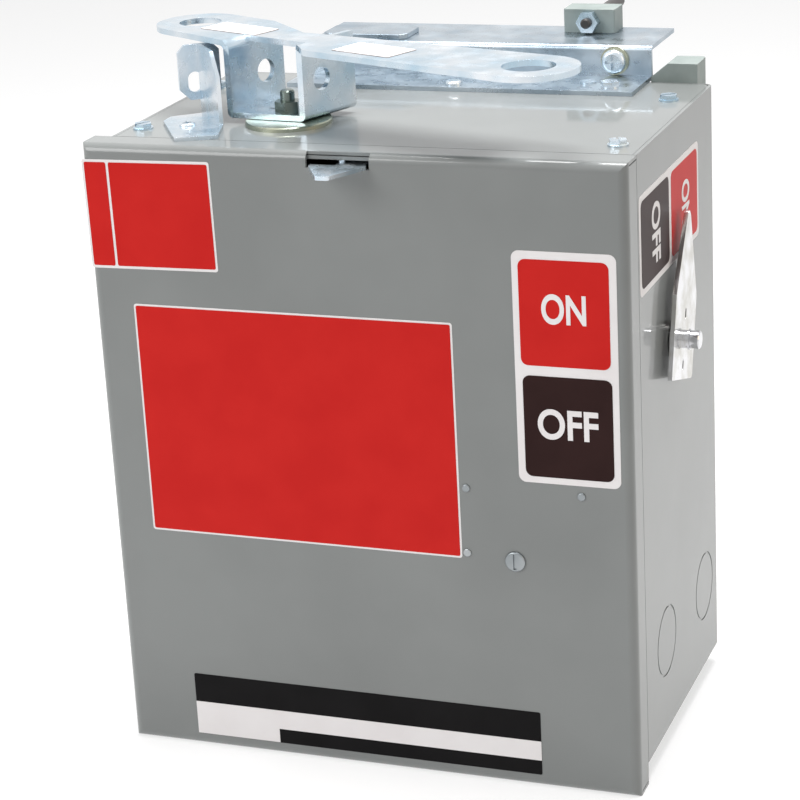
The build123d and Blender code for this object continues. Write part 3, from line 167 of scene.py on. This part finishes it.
# Zinc plated steel: lever, brackets, rails and fixings. Clear passivation leaves a bright,
# cold metal with soft cloudy patches in blue and grey, and faint rolling lines. The lever's
# bolt and nut are darker, its washer yellower, and the rails and rivets duller.
def zinc_plate(name, first, second, rough):
    """Bright zinc plate in two drifting tints."""
    material, tree, shader, place = finish_of(name, metallic=1, roughness=rough)
    tint = mottled(tree, place, colour(first), colour(second), 26, 0.3, 0.7)
    tree.links.new(tint, shader.inputs["Base Color"])
    patches = mottled(tree, place, [rough - 0.06] * 3 + [1], [rough + 0.07] * 3 + [1], 9)
    tree.links.new(patches, shader.inputs["Roughness"])
    ripple(tree, place, shader, 1.2, 0.0025, (1, 1, 3))
    return material


paint(zinc_plate("bright_zinc", "#B4CBDA", "#E2E6EA", 0.24), "plate_screws", "latch_retainer",
      "latch_striker", "assist_lever", "pointer", "pointer_rivet", "foot_bracket", "bracket_screw",
      "rail_screws", "clamp_screw", "clamp_nut", "align_nut", "hinge_body_leaf",
      "hinge_cover_leaf", "hinge_pins", "hook_bracket", "hook_pin", "lower_rail",
      "lower_rail_screws", "wall_screws", "line_bolts", "lug_screws")
paint(zinc_plate("yellow_zinc", "#9FA79A", "#B9B8A0", 0.3), "clamp_washer", "bearing_washer")
paint(zinc_plate("dark_zinc", "#56605B", "#8A948E", 0.28), "pivot_bolt", "pivot_nut")
# The cover rivets and the latch stud take a darker, rougher copy of the zinc: painted shade that
# keeps them dim and grey.
paint(zinc_plate("painted_shade_zinc", "#7E8487", "#A3A7A9", 0.34), "latch_stud", "cover_rivets")
paint(zinc_plate("dull_zinc", "#93A2AE", "#BCC5CC", 0.3), "hanger_rail", "stop_plate")
softened("assist_lever", "assist", 0.5)
for name in ("foot_bracket", "hanger_rail", "stop_plate"):
    softened(name, "root", 0.4)
softened("pointer", "assist", 0.3)


# Shaft and its retaining ring: turned steel, chromed, with fine turning lines round the axis.
# The handle is a stamped steel plate, polished so that it mirrors the panel behind it.
def chrome(name, shade, rough, lines_mm):
    """Chromed steel with fine lines left by its making."""
    material, tree, shader, place = finish_of(name, metallic=1, roughness=rough)
    tint = mottled(tree, place, colour(shade), colour("#D9D9DB"), 12)
    tree.links.new(tint, shader.inputs["Base Color"])
    ripple(tree, place, shader, lines_mm, 0.002, (4, 1, 1))
    return material


paint(chrome("chromed_steel", "#C4C5C8", 0.1, 0.6), "operating_shaft", "shaft_ring")
paint(chrome("polished_steel", "#B6B4AE", 0.16, 1.2), "handle")
softened("handle", "rotor", 0.3)


# Mouldings: grey glass-filled polyester outside, black for the switch and the stab base. Their
# skin is matt, with a fine spark-eroded grain and lighter flow marks. The fibre barriers and
# the black oxide of pin, hook and cam are as dull, and share it.
def moulding(name, first, second, rough):
    """Glass-filled moulded plastic with a grain 0.8 mm wide."""
    material, tree, shader, place = finish_of(name, roughness=rough)
    tint = mottled(tree, place, colour(first), colour(second), 18)
    tree.links.new(tint, shader.inputs["Base Color"])
    ripple(tree, place, shader, 0.8, 0.03)
    return material


paint(moulding("grey_moulding", "#7C8683", "#8C9592", 0.5), "interlock_housing", "align_block")
paint(moulding("black_moulding", "#1E1F20", "#2A2B2C", 0.45), "crossbar", "crossbar_bearings",
      "switch_base", "stab_base")
softened("interlock_housing", "root", 0.8)
softened("align_block", "root", 0.8)
softened("stab_base", "root", 0.8)
paint(moulding("nylon", "#D8D5C6", "#E2E0D4", 0.4), "shaft_bushing")
paint(moulding("red_fibre", "#6E2318", "#7E2C1E", 0.6), "phase_barriers")
paint(moulding("black_oxide", "#2B2827", "#3A3635", 0.4), "align_pin", "interlock_hook",
      "interlock_cam")


# Current path: copper strip for blades, jaws, clips, straps and stabs, slightly tarnished. The
# fuses are buff laminate tubes and the lugs tin-plated aluminium.
def bare_metal(name, first, second, rough):
    """Rolled metal strip with darker tarnish in soft spots."""
    material, tree, shader, place = finish_of(name, metallic=1, roughness=rough)
    tint = mottled(tree, place, colour(first), colour(second), 14, 0.3, 0.6)
    tree.links.new(tint, shader.inputs["Base Color"])
    ripple(tree, place, shader, 1.5, 0.004, (1, 1, 5))
    return material


paint(bare_metal("copper", "#A35F43", "#C98463", 0.32), "blades", "line_jaws", "load_contacts",
      "load_strips", "fuse_clips", "bus_straps", "stab_jaws", "ground_strap", "ground_bar")
paint(bare_metal("tinned_aluminium", "#B4B6B8", "#C9CACC", 0.35), "load_lugs")
paint(moulding("fuse_laminate", "#B29C78", "#C2AE8B", 0.35), "fuses")


# Labels: printed vinyl film 0.15 mm thick with rounded corners, stuck on the coat. The print
# is satin, with the faint unevenness of film that follows the coat beneath.
def film(name, code, second):
    """Printed vinyl in one colour."""
    material, tree, shader, place = finish_of(name, roughness=0.4, specular_ior_level=0.08)
    tint = mottled(tree, place, colour(code), colour(second), 25)
    tree.links.new(tint, shader.inputs["Base Color"])
    ripple(tree, place, shader, 4, 0.006)
    return material


red_film = film("red_film", "#BE1F1C", "#C3231F")
pale_film = film("pale_film", "#DFDBDB", "#E3E0E0")
dark_film = film("dark_film", "#2A1817", "#2F1C1B")
black_film = film("black_film", "#0E0D0E", "#131213")
grey_film = film("grey_film", "#8F8684", "#9B9290")
film_step = 0.00015


def layer_of(layer, at, level):
    """Mesh of a flat sheet given its film thickness and laid on the layers below."""
    grown = bmesh.ops.extrude_face_region(layer, geom=layer.faces[:])
    moved = [v for v in grown["geom"] if isinstance(v, bmesh.types.BMVert)]
    bmesh.ops.translate(layer, vec=(0, 0, film_step), verts=moved)
    bmesh.ops.recalc_face_normals(layer, faces=layer.faces)
    shift = (at[0] / 1000, at[1] / 1000, level * film_step)
    bmesh.ops.translate(layer, vec=shift, verts=layer.verts)
    mesh = bpy.data.meshes.new("layer")
    layer.to_mesh(mesh)
    layer.free()
    return mesh


def rounded(width, height, corner, at=(0, 0), level=0):
    """Mesh of one layer of film in the XY plane, sizes in millimetres."""
    layer = bmesh.new()
    bmesh.ops.create_grid(layer, x_segments=1, y_segments=1, size=0.5)
    bmesh.ops.scale(layer, vec=(width / 1000, height / 1000, 1), verts=layer.verts)
    if corner:
        bmesh.ops.bevel(layer, geom=layer.verts[:], offset=corner / 1000, affect="VERTICES",
                        segments=6, profile=0.5, material=-1)
    return layer_of(layer, at, level)


def cut_out(points, level):
    """Mesh of one layer of film with straight edges between points in millimetres."""
    layer = bmesh.new()
    layer.faces.new([layer.verts.new((x / 1000, y / 1000, 0)) for x, y in points])
    return layer_of(layer, (0, 0), level)


letter_boldness = 0.024


def lettering(words, width, height, at, level, turn=0):
    """Mesh of bold capitals of that width and height in millimetres, centred on a place."""
    curve = bpy.data.curves.new(words, "FONT")
    curve.body = words
    curve.offset = letter_boldness
    curve.extrude = 0.5
    holder = bpy.data.objects.new(words, curve)
    bpy.context.scene.collection.objects.link(holder)
    mesh = bpy.data.meshes.new_from_object(holder.evaluated_get(
        bpy.context.evaluated_depsgraph_get()))
    bpy.data.objects.remove(holder)
    places = [v.co for v in mesh.vertices]
    spans = [(min(p[axis] for p in places), max(p[axis] for p in places)) for axis in range(3)]
    middle = Vector([(low + high) / 2 for low, high in spans])
    wanted = (width / 1000, height / 1000, film_step)
    sizes = [want / (high - low) for want, (low, high) in zip(wanted, spans)]
    mesh.transform(Matrix.Diagonal(sizes).to_4x4() @ Matrix.Translation(-middle))
    shift = Vector((at[0] / 1000, at[1] / 1000, (level + 0.5) * film_step))
    mesh.transform(Matrix.Translation(shift) @ Matrix.Rotation(radians(turn), 4, "Z"))
    return mesh


def label(name, body, place, face, tilt, layers):
    """One label from layers of (mesh, material), turned on to a face and laid at a place."""
    whole = bmesh.new()
    materials = []
    for mesh, material in layers:
        if material not in materials:
            materials.append(material)
        first = len(whole.faces)
        whole.from_mesh(mesh)
        whole.faces.ensure_lookup_table()
        for new_face in whole.faces[first:]:
            new_face.material_index = materials.index(material)
    mesh = bpy.data.meshes.new(name)
    whole.to_mesh(mesh)
    whole.free()
    for material in materials:
        mesh.materials.append(material)
    mesh.transform(Matrix.Translation(place) @ face @ Matrix.Rotation(radians(tilt), 4, "Z"))
    piece = bpy.data.objects.new(name, mesh)
    bpy.context.scene.collection.objects.link(piece)
    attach(piece, body)


facing_front = Matrix.Rotation(radians(90), 4, "X")
facing_side = Matrix(((0, 0, 1, 0), (1, 0, 0, 0), (0, 1, 0, 0), (0, 0, 0, 1)))
facing_up = Matrix.Identity(4)
on_size = (24, 16.5)
off_size = (33, 17)
side_field = (57, 47, 4)
pale_band = [(-104, 1.4), (-104, -18.8), (-52.8, -18.8), (-52.8, -10.2), (104, -10.2), (104, 1.4)]

label("upper_red_label", "cover", spot(38.25, 0, 317.5), facing_front, 0.8, [
    (rounded(75.5, 61, 1.5), pale_film),
    (rounded(13, 58, 1, (-30, 0), 1), red_film),
    (rounded(58.5, 58, 1, (7.3, 0), 1), red_film)])
label("main_red_label", "cover", spot(116.2, 0, 200.2), facing_front, 0, [
    (rounded(184.6, 133.5, 1.5), pale_film),
    (rounded(182.4, 131.3, 1, (0, 0), 1), red_film)])
label("front_switch_label", "cover", spot(270.5, 0, 244.7), facing_front, 0, [
    (rounded(56, 127.5, 4), pale_film),
    (rounded(48.5, 57.6, 4, (-0.3, 30.5), 1), red_film),
    (rounded(48.5, 56.3, 4, (0.2, -32), 1), dark_film),
    (lettering("ON", *on_size, (-0.5, 33), 2), pale_film),
    (lettering("OFF", *off_size, (0, -30.2), 2), pale_film)])
label("nameplate", "cover", spot(145.5, 0, 26.6), facing_front, 0, [
    (rounded(208, 38, 1), black_film),
    (cut_out(pale_band, 1), pale_film)])
label("side_switch_label", "root", spot(305, 84, 306), facing_side, 0, [
    (rounded(126, 54, 4), pale_film),
    (rounded(*side_field, (-31, 0), 1), dark_film),
    (rounded(*side_field, (31, 0), 1), red_film),
    (lettering("OFF", *off_size, (-30, 0), 2, -90), pale_film),
    (lettering("ON", *on_size, (33, 0), 2, -90), pale_film)])


# The lever's two labels: bare pale film with a thin printed frame, stuck along its flat top.
# They are placed from the pivot, along the lever and across it.
lever_turn = -22
pivot = (97, 62)
lever_top = 402
frame_widths = 0.9


def on_lever(along, across):
    """Place in metres on the lever's top, from millimetres along it and across it."""
    turn = radians(lever_turn)
    return spot(pivot[0] + along * cos(turn) - across * sin(turn),
                pivot[1] + along * sin(turn) + across * cos(turn), lever_top)


for name, place, width, height in (("left_lever_label", on_lever(-44.6, 10.4), 43, 20),
                                   ("right_lever_label", on_lever(63.8, 3.1), 41, 23)):
    label(name, "assist", place, facing_up, lever_turn, [
        (rounded(width, height, 1), grey_film),
        (rounded(width - frame_widths, height - frame_widths, 0.7, (0, 0), 1), pale_film)])


# Surroundings: a floor that glows white under soft studio light, with a white surround that the
# gloss and the metal mirror. The camera stands where the photograph was taken from.
world = bpy.data.worlds.new("studio")
bpy.context.scene.world = world
world.use_nodes = True
sky = world.node_tree
path = add(sky, "ShaderNodeLightPath")
seen = add(sky, "ShaderNodeMath", {0: path.outputs["Is Camera Ray"],
                                   1: path.outputs["Is Glossy Ray"]}, operation="MAXIMUM")
seen = add(sky, "ShaderNodeMath", {0: seen.outputs[0], 1: path.outputs["Is Transmission Ray"]},
           operation="MAXIMUM")
lamp_share = 0.3
strength = add(sky, "ShaderNodeMapRange", {"Value": seen.outputs[0], "To Min": lamp_share,
                                           "To Max": 1.0})
sky.links.new(strength.outputs[0], sky.nodes["Background"].inputs["Strength"])
sky.nodes["Background"].inputs["Color"].default_value = colour("#FFFFFF")

floor_reach = 6
floor_glow = 0.64
floor_mesh = bpy.data.meshes.new("floor")
ground = bmesh.new()
bmesh.ops.create_grid(ground, x_segments=1, y_segments=1, size=floor_reach)
ground.to_mesh(floor_mesh)
ground.free()
floor_material, floor_shader = finish_of("floor_paper", roughness=0.9)[::2]
floor_shader.inputs["Base Color"].default_value = colour("#A8A8A8")
floor_shader.inputs["Emission Color"].default_value = colour("#FFFFFF")
floor_shader.inputs["Emission Strength"].default_value = floor_glow
floor_mesh.materials.append(floor_material)
studio_floor = bpy.data.objects.new("studio_floor", floor_mesh)
bpy.context.scene.collection.objects.link(studio_floor)


object_middle = Vector((0, 0, 0.2))


def softbox(name, power, size, place, tint="#FFFFFF"):
    """Square area lamp at a place, turned towards the object's middle."""
    data = bpy.data.lights.new(name, "AREA")
    data.energy = power
    data.color = colour(tint)[:3]
    data.size = size
    lamp = bpy.data.objects.new(name, data)
    lamp.location = place
    lamp.rotation_euler = (object_middle - Vector(place)).to_track_quat("-Z", "Y").to_euler()
    bpy.context.scene.collection.objects.link(lamp)


softbox("key_lamp", 28, 1.2, (-1.3, -1.6, 1.5))
softbox("top_lamp", 50, 1.0, (0.1, 0.2, 1.9))
softbox("side_lamp", 2.5, 1.0, (1.8, -0.3, 0.9), "#FFD9A0")

camera_from_origin = (0.47676, -1.32271, 0.66775)
azimuth, elevation, roll = radians(21.114), radians(19.256), radians(-3.098)
back = Vector((sin(azimuth) * cos(elevation), -cos(azimuth) * cos(elevation), sin(elevation)))
level = Vector((cos(azimuth), sin(azimuth), 0))
upright = back.cross(level)
right = level * cos(roll) + upright * sin(roll)
over = upright * cos(roll) - level * sin(roll)
camera_data = bpy.data.cameras.new("camera")
camera_data.sensor_width = 36
focal_pixels = 2532.5
frame_pixels = 800
camera_data.lens = focal_pixels / frame_pixels * camera_data.sensor_width
camera = bpy.data.objects.new("camera", camera_data)
turned = Matrix((right, over, back)).transposed().to_4x4()
camera.matrix_world = Matrix.Translation(camera_from_origin) @ turned
bpy.context.scene.collection.objects.link(camera)
bpy.context.scene.camera = camera
bpy.context.scene.view_settings.view_transform = "Standard"
